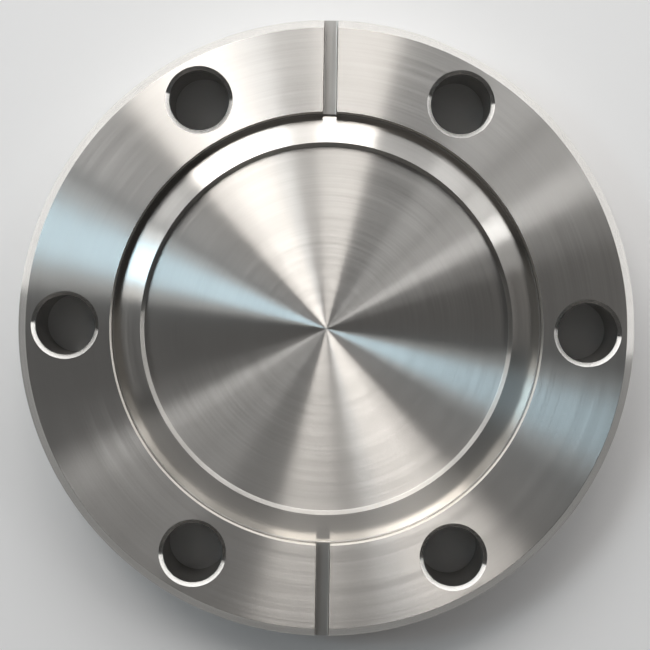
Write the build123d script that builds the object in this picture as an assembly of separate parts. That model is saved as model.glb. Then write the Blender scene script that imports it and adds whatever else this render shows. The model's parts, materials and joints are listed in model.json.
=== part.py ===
from build123d import *
from math import radians, tan
import os

# Blank knife-edge vacuum flange: one disc of stainless steel, turned on a lathe, then drilled
# and slotted. It closes a port by biting into a flat copper gasket.
# The axis is +Z. The plain back face lies on z = 0 and the sealing side faces up.
# Lengths are millimetres and angles are degrees.

# Across the flange, from the middle outwards. They add up to a recess of 48.3 across,
# a bolt circle of 58.7 and an outside of 69.3, the common sizes for a 40 mm bore.
knife_edge_diameter = 41.9
gasket_seat_width = 3.2      # from the knife edge out to the recess wall
inner_land = 1.85            # metal left between the recess wall and a bolt hole
bolt_hole_diameter = 6.7     # clearance for an M6 or quarter-inch bolt
outer_land = 1.95            # metal left between a bolt hole and the outside
bolt_hole_count = 6

# Along the axis.
flange_thickness = 12.7
knife_edge_drop = 0.65       # from the rim face down to the knife edge
knife_edge_height = 1.0      # from the central face up to the knife edge

# The section of the knife edge.
gasket_seat_angle = 20       # fall of the seat from the knife edge to the recess wall
knife_lean_angle = 20        # lean of the knife's inner side, away from the axis
tool_nose_radius = 0.1       # round left by the turning tool in both inside corners

# Leak-check grooves, milled flat-bottomed from the recess out through the rim.
groove_width = 1.6
groove_depth = 1.3           # from the rim face down
groove_corner_radius = 0.2   # round left by the cutter along both sides of the bottom
groove_count = 2

# Edges.
rim_chamfer = 0.9
hole_chamfer = 0.45
recess_edge_break = 0.2

# How far each cutter runs past the surface that it opens.
cutter_overrun = 0.2

# Worked out from the sizes above.
knife_edge_radius = knife_edge_diameter / 2
recess_radius = knife_edge_radius + gasket_seat_width
bolt_hole_radius = bolt_hole_diameter / 2
bolt_circle_radius = recess_radius + inner_land + bolt_hole_radius
outer_radius = bolt_circle_radius + bolt_hole_radius + outer_land

knife_edge_z = flange_thickness - knife_edge_drop
central_face_z = knife_edge_z - knife_edge_height
seat_foot_z = knife_edge_z - gasket_seat_width * tan(radians(gasket_seat_angle))
central_face_radius = knife_edge_radius - knife_edge_height * tan(radians(knife_lean_angle))

hole_pitch_angle = 360 / bolt_hole_count


def turned_disc():
    """The disc as it leaves the lathe: one section, from the axis to the rim, turned round."""
    seat_foot = (recess_radius, seat_foot_z)
    knife_foot = (central_face_radius, central_face_z)
    outline = Polyline(
        (0, 0),
        (outer_radius - rim_chamfer, 0),
        (outer_radius, rim_chamfer),
        (outer_radius, flange_thickness - rim_chamfer),
        (outer_radius - rim_chamfer, flange_thickness),
        (recess_radius + recess_edge_break, flange_thickness),
        (recess_radius, flange_thickness - recess_edge_break),
        seat_foot,
        (knife_edge_radius, knife_edge_z),
        knife_foot,
        (0, central_face_z),
        close=True,
    )
    section = make_face(outline)
    for corner in (seat_foot, knife_foot):
        nearest = section.vertices().sort_by_distance(corner)[0]
        section = fillet(nearest, tool_nose_radius)
    return revolve(Plane.XZ * section, Axis.Z)


def bolt_hole_cutter():
    """A drill with a 45 degree countersink at both faces, standing on the axis."""
    countersink_radius = bolt_hole_radius + hole_chamfer + cutter_overrun
    outline = Polyline(
        (0, -cutter_overrun),
        (countersink_radius, -cutter_overrun),
        (bolt_hole_radius, hole_chamfer),
        (bolt_hole_radius, flange_thickness - hole_chamfer),
        (countersink_radius, flange_thickness + cutter_overrun),
        (0, flange_thickness + cutter_overrun),
        close=True,
    )
    return revolve(Plane.XZ * make_face(outline), Axis.Z)


def groove_cutter():
    """One groove along +X, from inside the recess to beyond the rim."""
    bottom_z = flange_thickness - groove_depth
    height = groove_depth + cutter_overrun
    section = Pos(0, bottom_z + height / 2) * Rectangle(groove_width, height)
    bottom_corners = section.vertices().group_by(Axis.Y)[0]
    section = fillet(bottom_corners, groove_corner_radius)
    start = recess_radius - cutter_overrun
    end = outer_radius + cutter_overrun
    return extrude(Plane.YZ.offset(start) * section, end - start)


def groove_angles():
    """Each groove lies midway between two bolt holes, and the first is nearest to +Y."""
    first_gap = bolt_hole_count // 4
    gap_step = bolt_hole_count // groove_count
    return [(first_gap + i * gap_step + 0.5) * hole_pitch_angle for i in range(groove_count)]


def blank_flange():
    flange = turned_disc()
    flange -= PolarLocations(bolt_circle_radius, bolt_hole_count) * bolt_hole_cutter()
    for angle in groove_angles():
        flange -= Rot(Z=angle) * groove_cutter()
    return flange


os.makedirs("parts", exist_ok=True)
export_step(blank_flange(), "parts/blank_flange.step")
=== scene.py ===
"""A blank knife-edge vacuum flange of bare stainless steel, lying on a pale floor.

The flange is built again here from its section, with fine facets and slightly rounded edges, and
stands for the CAD node. Lengths are in metres, on the frame's own axes: +Z up, out of the sealing side.
"""
import json
from math import acos, cos, pi, radians, sin, tan

import bmesh
import bpy
from mathutils import Matrix, Vector


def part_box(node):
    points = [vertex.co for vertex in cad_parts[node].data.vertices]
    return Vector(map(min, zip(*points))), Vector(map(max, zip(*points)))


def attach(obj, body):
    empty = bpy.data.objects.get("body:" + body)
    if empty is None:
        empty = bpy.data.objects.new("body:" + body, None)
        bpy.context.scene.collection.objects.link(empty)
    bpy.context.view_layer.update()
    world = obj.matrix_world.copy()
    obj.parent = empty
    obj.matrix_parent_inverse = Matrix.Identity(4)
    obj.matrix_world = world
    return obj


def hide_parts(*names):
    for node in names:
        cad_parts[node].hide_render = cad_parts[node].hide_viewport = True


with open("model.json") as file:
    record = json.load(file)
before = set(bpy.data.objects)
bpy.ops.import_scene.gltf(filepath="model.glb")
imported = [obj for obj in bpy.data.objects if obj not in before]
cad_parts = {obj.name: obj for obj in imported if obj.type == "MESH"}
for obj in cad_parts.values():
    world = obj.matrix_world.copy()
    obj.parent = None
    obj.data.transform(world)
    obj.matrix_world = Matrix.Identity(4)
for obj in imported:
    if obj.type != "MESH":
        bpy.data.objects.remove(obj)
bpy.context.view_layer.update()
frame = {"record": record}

MM = 0.001

# ---------------------------------------------------------------------------------------------
# Sizes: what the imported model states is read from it, and the rest follows the section in CAD.
# ---------------------------------------------------------------------------------------------
NODE = "blank_flange"
LOW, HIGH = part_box(NODE)
THICKNESS = HIGH.z - LOW.z
OUTER_RADIUS = (HIGH.x - LOW.x) / 2

bolt_circle = next(m for m in frame["record"]["mounts"] if m["name"] == "bolt_circle")
HOLE_COUNT = bolt_circle["dims"]["count"]
HOLE_RADIUS = bolt_circle["dims"]["hole_r_mm"] * MM
HOLE_CIRCLE_RADIUS = bolt_circle["dims"]["pcd_mm"] / 2 * MM

KNIFE_RADIUS = 20.95 * MM
SEAT_WIDTH = 3.2 * MM
KNIFE_DROP = 0.65 * MM
KNIFE_HEIGHT = 1.0 * MM
SEAT_ANGLE = radians(20)
KNIFE_LEAN = radians(20)
TOOL_NOSE = 0.1 * MM
RIM_CHAMFER = 0.9 * MM
HOLE_CHAMFER = 0.45 * MM
RECESS_BREAK = 0.2 * MM
GROOVE_WIDTH = 1.6 * MM
GROOVE_DEPTH = 1.3 * MM
GROOVE_CORNER = 0.2 * MM

RECESS_RADIUS = KNIFE_RADIUS + SEAT_WIDTH
KNIFE_Z = THICKNESS - KNIFE_DROP
FLOOR_Z = KNIFE_Z - KNIFE_HEIGHT
SEAT_FOOT_Z = KNIFE_Z - SEAT_WIDTH * tan(SEAT_ANGLE)
FLOOR_RADIUS = KNIFE_RADIUS - KNIFE_HEIGHT * tan(KNIFE_LEAN)

# How finely the flange is faceted, and the round that handling leaves on each sharp edge.
TURNED_STEPS = 360
HOLE_STEPS = 96
ARC_STEPS = 5
EDGE_ROUND = 0.05 * MM
KNIFE_ROUND = 0.02 * MM
CUT_PAST = 0.3 * MM
SHARP_ANGLE = radians(25)
SAME_LENGTH = 0.001 * MM     # lengths that differ by less are taken as equal

# Each finish is a material of its own, in this order on the flange.
FINISHES = [
    "centre", "rim", "seat", "knife", "wall",
    "broken edge", "outside", "countersunk", "drilled", "milled",
]


# ---------------------------------------------------------------------------------------------
# Materials
# ---------------------------------------------------------------------------------------------
class Nodes:
    """Short names for the shader nodes that the finishes are made of."""

    def __init__(self, name):
        self.material = bpy.data.materials.new(name)
        self.material.use_nodes = True
        self.tree = self.material.node_tree
        self.shader = self.tree.nodes["Principled BSDF"]

    def put(self, value, socket):
        if isinstance(value, bpy.types.NodeSocket):
            self.tree.links.new(value, socket)
        else:
            socket.default_value = value

    def math(self, operation, *values):
        node = self.tree.nodes.new("ShaderNodeMath")
        node.operation = operation
        for value, socket in zip(values, node.inputs):
            self.put(value, socket)
        return node.outputs[0]

    def vector(self, operation, *values):
        node = self.tree.nodes.new("ShaderNodeVectorMath")
        node.operation = operation
        for value, socket in zip(values, node.inputs):
            self.put(value, socket)
        return node.outputs["Value" if operation == "LENGTH" else "Vector"]

    def scaled(self, vector, factor):
        node = self.tree.nodes.new("ShaderNodeVectorMath")
        node.operation = "SCALE"
        self.put(vector, node.inputs[0])
        self.put(factor, node.inputs["Scale"])
        return node.outputs[0]

    def noise(self, vector, scale=1.0, detail=2.0):
        node = self.tree.nodes.new("ShaderNodeTexNoise")
        self.put(vector, node.inputs["Vector"])
        node.inputs["Scale"].default_value = scale
        node.inputs["Detail"].default_value = detail
        return node.outputs["Fac"]

    def spread(self, value, low, high):
        """0 to 1 becomes low to high."""
        return self.math("MULTIPLY_ADD", value, high - low, low)

    def place(self):
        return self.tree.nodes.new("ShaderNodeTexCoord").outputs["Object"]

    def further_shader(self, share):
        """One more shader, which takes this share of the surface from those before it."""
        further = self.tree.nodes.new("ShaderNodeBsdfPrincipled")
        both = self.tree.nodes.new("ShaderNodeMixShader")
        both.inputs[0].default_value = share
        surface = self.tree.nodes["Material Output"].inputs["Surface"]
        self.put(surface.links[0].from_socket, both.inputs[1])
        self.put(further.outputs[0], both.inputs[2])
        self.put(both.outputs[0], surface)
        return further

    def normal(self):
        return self.tree.nodes.new("ShaderNodeNewGeometry").outputs["Normal"]

    def separate(self, vector):
        node = self.tree.nodes.new("ShaderNodeSeparateXYZ")
        self.put(vector, node.inputs[0])
        return node.outputs

    def combine(self, x, y, z):
        node = self.tree.nodes.new("ShaderNodeCombineXYZ")
        for value, socket in zip((x, y, z), node.inputs):
            self.put(value, socket)
        return node.outputs[0]


# How far apart the tool's marks lie, in metres: single ones, groups of them, and stretches where the
# tool wavered along its way.
FINE_PITCH = 0.2 * MM
BROAD_PITCH = 0.9 * MM
WAVER_PITCH = 0.5 * MM

# How often a milled mark, a stain and a worn patch change, per metre.
MILLED_DRIFT = 60
STAIN_SCALE = 250
WEAR_SCALE = 120


# How the tool went by. Each gives the direction of its marks, how deep a point lies across them (in
# metres), and a vector that changes slowly along them.
def turned(n):
    """The lathe's tool went round the flange's axis."""
    out = n.vector("NORMALIZE", n.vector("MULTIPLY", n.place(), (1, 1, 0)))
    return n.vector("CROSS_PRODUCT", (0, 0, 1), out), n.vector("LENGTH", n.place()), out


def drilled(n):
    """The drill's edge went round the wall that it left."""
    out = n.vector("NORMALIZE", n.vector("MULTIPLY", n.normal(), (1, 1, 0)))
    return n.vector("CROSS_PRODUCT", (0, 0, 1), out), n.separate(n.place())[2], out


def milled(n):
    """The cutter went straight out from the flange's axis."""
    out = n.vector("NORMALIZE", n.vector("MULTIPLY", n.place(), (1, 1, 0)))
    return out, n.separate(n.place())[0], n.scaled(n.place(), MILLED_DRIFT)


def marks(n, depth, drift, pitch, wander):
    """0 to 1, changing across the tool's marks about every `pitch`, and slowly along them."""
    across = n.combine(0, 0, n.math("MULTIPLY", depth, 1 / pitch))
    return n.noise(n.vector("ADD", n.scaled(drift, wander), across))


# The steel where it is bright, where it has a straw tint, and a darker steel on the hole walls that
# paints shade into the holes.
STEEL = (0.60, 0.585, 0.56)
STRAW = (0.605, 0.575, 0.53)
PAINTED_SHADE_STEEL = (0.40, 0.39, 0.375)


def metal(name, cut, roughness, anisotropy, rut, waver, colour=STEEL, flanks=()):
    """Bare stainless steel, which scatters light across the marks of the tool that cut it. `rut` is
    how far they tilt the surface across themselves, and `waver` how far along themselves. The flanks
    of the finest marks are too small to see one by one: each has a lean away from the axis, a
    roughness and the share that it takes of the surface. What they leave has no lean. That is a
    quarter of the surface or more, because the denoiser leaves a stipple on steel that has less."""
    n = Nodes(name)
    normal = n.normal()
    along, depth, drift = cut(n)
    across = n.vector("NORMALIZE", n.vector("CROSS_PRODUCT", along, normal))
    fine = marks(n, depth, drift, FINE_PITCH, 1.2)
    broad = marks(n, depth, drift, BROAD_PITCH, 0.7)
    loose = marks(n, depth, drift, WAVER_PITCH, 4.0)
    ruts = n.math("ADD", n.spread(fine, -rut, rut), n.spread(broad, -rut / 2, rut / 2))
    waves = n.vector("ADD", normal, n.scaled(along, n.spread(loose, -waver, waver)))
    stain = n.spread(n.noise(n.place(), STAIN_SCALE), 0.97, 1.03)
    tint = n.scaled(colour, n.math("ADD", n.spread(fine, -0.04, 0.04), stain))
    wear = n.noise(n.place(), WEAR_SCALE)
    left = 1 - sum(share for _, _, share in flanks)
    sides = [(n.shader, 0, roughness)]
    for lean, flank_roughness, share in flanks:
        left += share
        sides.append((n.further_shader(share / left), lean, flank_roughness))
    for shader, lean, side_roughness in sides:
        facing = n.vector("ADD", waves, n.scaled(across, n.math("ADD", ruts, lean)))
        worn = n.spread(wear, 0.94 * side_roughness, 1.06 * side_roughness)
        n.put(n.vector("NORMALIZE", facing), shader.inputs["Normal"])
        n.put(across, shader.inputs["Tangent"])
        n.put(tint, shader.inputs["Base Color"])
        n.put(worn, shader.inputs["Roughness"])
        shader.inputs["Metallic"].default_value = 1.0
        shader.inputs["Anisotropic"].default_value = anisotropy
    return n.material


# The lean, roughness and share of each flank of the marks that a facing cut leaves, then of those
# on the sloping seat and on the knife's inner side. They were tuned until the render came near the
# photo, and not measured on a surface.
CREASED = ((0.25, 0.22, 0.36), (-0.25, 0.22, 0.36))
RIDGED = ((-0.1, 0.18, 0.6), (-0.65, 0.29, 0.2))
EDGED = ((0.17, 0.2, 0.6),)

materials = {
    "centre": metal("centre_steel", turned, 0.3, 1.0, 0.06, 0.003, flanks=CREASED),
    "rim": metal("rim_steel", turned, 0.3, 1.0, 0.06, 0.004, flanks=CREASED),
    "seat": metal("seat_steel", turned, 0.3, 1.0, 0.04, 0.004, flanks=RIDGED),
    "knife": metal("knife_steel", turned, 0.3, 1.0, 0.02, 0.0, flanks=EDGED),
    "wall": metal("wall_steel", turned, 0.18, 1.0, 0.02, 0.0, STRAW),
    "broken edge": metal("broken_edge_steel", turned, 0.36, 0.9, 0.02, 0.0, STRAW),
    "outside": metal("outside_steel", turned, 0.22, 1.0, 0.05, 0.01),
    "countersunk": metal("countersunk_steel", drilled, 0.22, 0.9, 0.04, 0.0),
    # The drilled walls take the darker steel, which is painted shade inside the holes.
    "drilled": metal("drilled_steel_painted_shade", drilled, 0.22, 0.9, 0.04, 0.0, PAINTED_SHADE_STEEL),
    "milled": metal("milled_steel", milled, 0.40, 0.2, 0.05, 0.02),
}


# ---------------------------------------------------------------------------------------------
# Shape
# ---------------------------------------------------------------------------------------------
def rounded(corners):
    """Points along an open outline of (across, up, radius) corners, with an arc at each one that has
    a radius."""
    points = []
    for i, (x, y, radius) in enumerate(corners):
        here = Vector((x, y))
        if not radius:
            points.append(here)
            continue
        back = (Vector(corners[i - 1][:2]) - here).normalized()
        on = (Vector(corners[i + 1][:2]) - here).normalized()
        half = acos(max(-1, min(1, back.dot(on)))) / 2
        centre = here + (back + on).normalized() * (radius / sin(half))
        start = here + back * (radius / tan(half)) - centre
        end = here + on * (radius / tan(half)) - centre
        sweep = start.angle_signed(end)
        for k in range(ARC_STEPS + 1):
            points.append(centre + Matrix.Rotation(-sweep * k / ARC_STEPS, 2) @ start)
    return points


def lathe(name, outline, steps, finish_at):
    """A closed solid turned round Z from an outline whose first and last points lie on the axis.
    finish_at gives the finish of the face between two neighbouring points."""
    mesh = bmesh.new()
    rings = []
    for across, up in outline:
        if across < SAME_LENGTH:
            rings.append([mesh.verts.new((0, 0, up))] * steps)
        else:
            turn = [2 * pi * k / steps for k in range(steps)]
            rings.append([mesh.verts.new((across * cos(a), across * sin(a), up)) for a in turn])
    for i, (low, high) in enumerate(zip(rings, rings[1:])):
        for k in range(steps):
            n = (k + 1) % steps
            corners = list(dict.fromkeys((low[k], low[n], high[n], high[k])))
            face = mesh.faces.new(corners)
            face.material_index = FINISHES.index(finish_at(outline[i], outline[i + 1]))
            face.smooth = True
    return as_object(name, mesh)


def as_object(name, mesh):
    bmesh.ops.recalc_face_normals(mesh, faces=mesh.faces)
    data = bpy.data.meshes.new(name)
    mesh.to_mesh(data)
    mesh.free()
    made = bpy.data.objects.new(name, data)
    bpy.context.scene.collection.objects.link(made)
    return made


def flange_outline():
    """The flange's section, from the middle of the back to the middle of the central face."""
    return rounded([
        (0, 0, 0),
        (HOLE_CIRCLE_RADIUS, 0, 0),
        (OUTER_RADIUS - RIM_CHAMFER, 0, EDGE_ROUND),
        (OUTER_RADIUS, RIM_CHAMFER, EDGE_ROUND),
        (OUTER_RADIUS, THICKNESS - RIM_CHAMFER, EDGE_ROUND),
        (OUTER_RADIUS - RIM_CHAMFER, THICKNESS, EDGE_ROUND),
        (RECESS_RADIUS + RECESS_BREAK, THICKNESS, EDGE_ROUND),
        (RECESS_RADIUS, THICKNESS - RECESS_BREAK, EDGE_ROUND),
        (RECESS_RADIUS, SEAT_FOOT_Z, TOOL_NOSE),
        (KNIFE_RADIUS, KNIFE_Z, KNIFE_ROUND),
        (FLOOR_RADIUS, FLOOR_Z, TOOL_NOSE),
        (FLOOR_RADIUS / 2, FLOOR_Z, 0),
        (0, FLOOR_Z, 0),
    ])


def turned_finish(a, b):
    """Which cut of the lathe made the face between two points of the section."""
    across, up = (a + b) / 2
    if abs(a.y - b.y) < SAME_LENGTH:
        return "centre" if across < FLOOR_RADIUS and up > FLOOR_Z / 2 else "rim"
    if across > HOLE_CIRCLE_RADIUS:
        return "outside"
    if across < KNIFE_RADIUS:
        return "knife"
    if across < RECESS_RADIUS - SAME_LENGTH:
        return "seat"
    return "wall" if up < THICKNESS - RECESS_BREAK - EDGE_ROUND else "broken edge"


def drilled_finish(a, b):
    """The drill made the upright wall, and the countersink the rest."""
    return "drilled" if abs(a.x - b.x) < SAME_LENGTH else "countersunk"


def hole_cutter(angle):
    """A drill with a 45 degree countersink at both faces, on the bolt circle."""
    wide = HOLE_RADIUS + HOLE_CHAMFER + CUT_PAST
    outline = rounded([
        (0, -CUT_PAST, 0),
        (wide, -CUT_PAST, 0),
        (HOLE_RADIUS, HOLE_CHAMFER, EDGE_ROUND),
        (HOLE_RADIUS, THICKNESS - HOLE_CHAMFER, EDGE_ROUND),
        (wide, THICKNESS + CUT_PAST, 0),
        (0, THICKNESS + CUT_PAST, 0),
    ])
    cutter = lathe("hole_cutter", outline, HOLE_STEPS, drilled_finish)
    centre = Vector((HOLE_CIRCLE_RADIUS * cos(angle), HOLE_CIRCLE_RADIUS * sin(angle), 0))
    cutter.data.transform(Matrix.Translation(centre))
    return cutter


def groove_cutter(angle):
    """A flat-bottomed cut from the recess out through the rim."""
    half, top, bottom = GROOVE_WIDTH / 2, THICKNESS + CUT_PAST, THICKNESS - GROOVE_DEPTH
    section = rounded([
        (-half, top, 0),
        (-half, bottom, GROOVE_CORNER),
        (half, bottom, GROOVE_CORNER),
        (half, top, 0),
    ])
    mesh = bmesh.new()
    ends = [
        [mesh.verts.new((along, y, z)) for y, z in section]
        for along in (RECESS_RADIUS - CUT_PAST, OUTER_RADIUS + CUT_PAST)
    ]
    for end in ends:
        mesh.faces.new(end)
    for k in range(len(section)):
        n = (k + 1) % len(section)
        mesh.faces.new((ends[0][k], ends[0][n], ends[1][n], ends[1][k]))
    for face in mesh.faces:
        face.material_index = FINISHES.index("milled")
        face.smooth = True
    cutter = as_object("groove_cutter", mesh)
    cutter.data.transform(Matrix.Rotation(angle, 4, "Z"))
    return cutter


def cut(body, cutters):
    """Takes the cutters out of the body and deletes them."""
    for cutter in cutters:
        boolean = body.modifiers.new(cutter.name, "BOOLEAN")
        boolean.operation = "DIFFERENCE"
        boolean.solver = "EXACT"
        boolean.material_mode = "TRANSFER"
        boolean.object = cutter
    bpy.context.view_layer.update()
    depsgraph = bpy.context.evaluated_depsgraph_get()
    body.modifiers.update()
    done = bpy.data.meshes.new_from_object(body.evaluated_get(depsgraph))
    body.modifiers.clear()
    body.data = done
    for cutter in cutters:
        bpy.data.objects.remove(cutter)


def shade(body):
    """Smooth over the small steps of arcs and rounds, and flat on the flat faces beside them."""
    body.data.set_sharp_from_angle(angle=SHARP_ANGLE)
    weighted = body.modifiers.new("normals", "WEIGHTED_NORMAL")
    weighted.keep_sharp = True


def make_flange():
    flange = lathe("turned_flange", flange_outline(), TURNED_STEPS, turned_finish)
    pitch = 2 * pi / HOLE_COUNT
    cutters = [hole_cutter(k * pitch) for k in range(HOLE_COUNT)]
    cutters += [groove_cutter(angle) for angle in (pi / 2, 3 * pi / 2)]
    for thing in [flange, *cutters]:
        for finish in FINISHES:
            thing.data.materials.append(materials[finish])
    cut(flange, cutters)
    shade(flange)
    return flange


flange = make_flange()
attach(flange, "root")
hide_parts(NODE)


# ---------------------------------------------------------------------------------------------
# Studio
# ---------------------------------------------------------------------------------------------
def make_floor():
    """A pale floor that curves up into a low grey wall all round, as the backdrop."""
    flat, bend, wall = 0.9, 0.3, 0.5
    steps, bend_steps = 96, 12
    arc = [pi / 2 * k / bend_steps for k in range(bend_steps + 1)]
    outline = [Vector((flat + bend * sin(a), bend * (1 - cos(a)))) for a in arc]
    outline.append(Vector((flat + bend, wall)))
    turn = [2 * pi * k / steps for k in range(steps)]
    mesh = bmesh.new()
    rings = [[mesh.verts.new((p.x * cos(a), p.x * sin(a), p.y)) for a in turn] for p in outline]
    mesh.faces.new(rings[0])
    for low, high in zip(rings, rings[1:]):
        for k in range(steps):
            n = (k + 1) % steps
            face = mesh.faces.new((low[k], low[n], high[n], high[k]))
            face.smooth = True
            face.material_index = 1
    data = bpy.data.meshes.new("floor")
    mesh.to_mesh(data)
    mesh.free()
    floor = bpy.data.objects.new("floor", data)
    bpy.context.scene.collection.objects.link(floor)
    for name, grey in (("pale_floor", 0.85), ("grey_backdrop", 0.18)):
        matt = Nodes(name)
        matt.shader.inputs["Base Color"].default_value = (grey, grey, grey, 1)
        matt.shader.inputs["Roughness"].default_value = 0.9
        floor.data.materials.append(matt.material)


make_floor()

world = bpy.data.worlds.new("studio")
bpy.context.scene.world = world
world.use_nodes = True
world.node_tree.nodes["Background"].inputs["Color"].default_value = (0.03, 0.03, 0.03, 1)

LAMP_DISTANCE = 0.7

# Where a lamp starts and ends, in degrees from straight up.
UPPER_ROW = (25, 37)
MIDDLE_ROW = (37, 54)
LOW_ROW = (74, 88)


def lamp(name, azimuth, width, row, brightness, colour):
    """A soft box that fills `width` degrees round the flange, centred on `azimuth`, and one row's
    height. Its brightness is that of a white surface under plain light."""
    lowest, highest = row
    middle = radians((lowest + highest) / 2)
    data = bpy.data.lights.new(name, "AREA")
    data.shape = "RECTANGLE"
    data.size = 2 * LAMP_DISTANCE * sin(middle) * tan(radians(width) / 2)
    data.size_y = 2 * LAMP_DISTANCE * tan(radians(highest - lowest) / 2)
    data.energy = brightness * pi * data.size * data.size_y
    data.color = colour
    made = bpy.data.objects.new(name, data)
    bpy.context.scene.collection.objects.link(made)
    turn = radians(azimuth)
    up = Vector((sin(middle) * cos(turn), sin(middle) * sin(turn), cos(middle)))
    across = Vector((-sin(turn), cos(turn), 0))
    made.matrix_world = Matrix.LocRotScale(
        up * LAMP_DISTANCE, Matrix((across, up.cross(across), up)).transposed().to_quaternion(), None
    )


WHITE = (1, 1, 1)
WARM = (1, 0.96, 0.92)
BLUE = (0.76, 1, 1.14)

# Where the lamps stand was chosen. How bright they are comes from a least-squares fit to the bright and
# dark sectors in the photo, and was then rounded and corrected.

# Narrow boxes high up draw the bright sectors that fan out over the turned faces. Azimuths run from
# the right of the picture, by way of the top.
lamp("right_edge", 20, 8, UPPER_ROW, 0.85, WHITE)
lamp("right", 29, 8, UPPER_ROW, 5.0, WHITE)
lamp("right_middle", 38, 8, UPPER_ROW, 2.7, WHITE)
lamp("right_soft", 49, 14, UPPER_ROW, 1.3, WHITE)
lamp("top", 79, 7, UPPER_ROW, 6.4, WARM)
lamp("top_middle", 88, 11, UPPER_ROW, 5.5, WARM)
lamp("top_end", 98, 9, UPPER_ROW, 2.1, WARM)
lamp("key_edge", 106, 7, UPPER_ROW, 6.4, WHITE)
lamp("key", 117, 15, UPPER_ROW, 10, WARM)
lamp("key_end", 129, 9, UPPER_ROW, 7.8, WARM)
lamp("left_soft", 146, 13, UPPER_ROW, 0.8, WHITE)
lamp("left_edge", 155, 5, UPPER_ROW, 3.3, WHITE)
lamp("left_blue", 163.5, 12, UPPER_ROW, 7.3, BLUE)
lamp("left_tail", 172, 5, UPPER_ROW, 2.7, WARM)

# Wider and dimmer ones further down fill the gaps between them.
lamp("middle_right", 20, 52, MIDDLE_ROW, 0.55, WARM)
lamp("middle_upper_right", 65, 39, MIDDLE_ROW, 2.7, WHITE)
lamp("middle_top", 104, 39, MIDDLE_ROW, 3.2, WHITE)
lamp("middle_left", 136, 26, MIDDLE_ROW, 2.6, WHITE)
lamp("middle_far_left", 175, 52, MIDDLE_ROW, 0.45, WHITE)
lamp("fill_left", 240, 60, MIDDLE_ROW, 0.38, WARM)
lamp("fill", 288, 30, MIDDLE_ROW, 0.34, WARM)

# The lowest light the chamfers.
for azimuth in (17, 62, 107, 152):
    lamp(f"low_{azimuth}", azimuth, 45, LOW_ROW, 3.4, WHITE)

# The camera looks almost straight down on the rim face, from this far above it.
CAMERA_HEIGHT = 252 * MM
CAMERA_FOOT = Vector((-0.84, 5.8)) * MM
CAMERA_AIM = Vector((-0.17, 0.45)) * MM
CAMERA_ROLL = radians(0.9)

camera_data = bpy.data.cameras.new("camera")
camera_data.sensor_width = 36
camera_data.lens = 124.5
camera_data.clip_start = 0.01
camera = bpy.data.objects.new("camera", camera_data)
bpy.context.scene.collection.objects.link(camera)
stand = Vector((CAMERA_FOOT.x, CAMERA_FOOT.y, THICKNESS + CAMERA_HEIGHT))
aim = Vector((CAMERA_AIM.x, CAMERA_AIM.y, THICKNESS))
back = (stand - aim).normalized()
side = Vector((cos(CAMERA_ROLL), sin(CAMERA_ROLL), 0)).cross(back).cross(back).normalized() * -1
camera.matrix_world = Matrix.LocRotScale(
    stand, Matrix((side, back.cross(side), back)).transposed().to_quaternion(), None
)
bpy.context.scene.camera = camera
bpy.context.scene.view_settings.view_transform = "Standard"
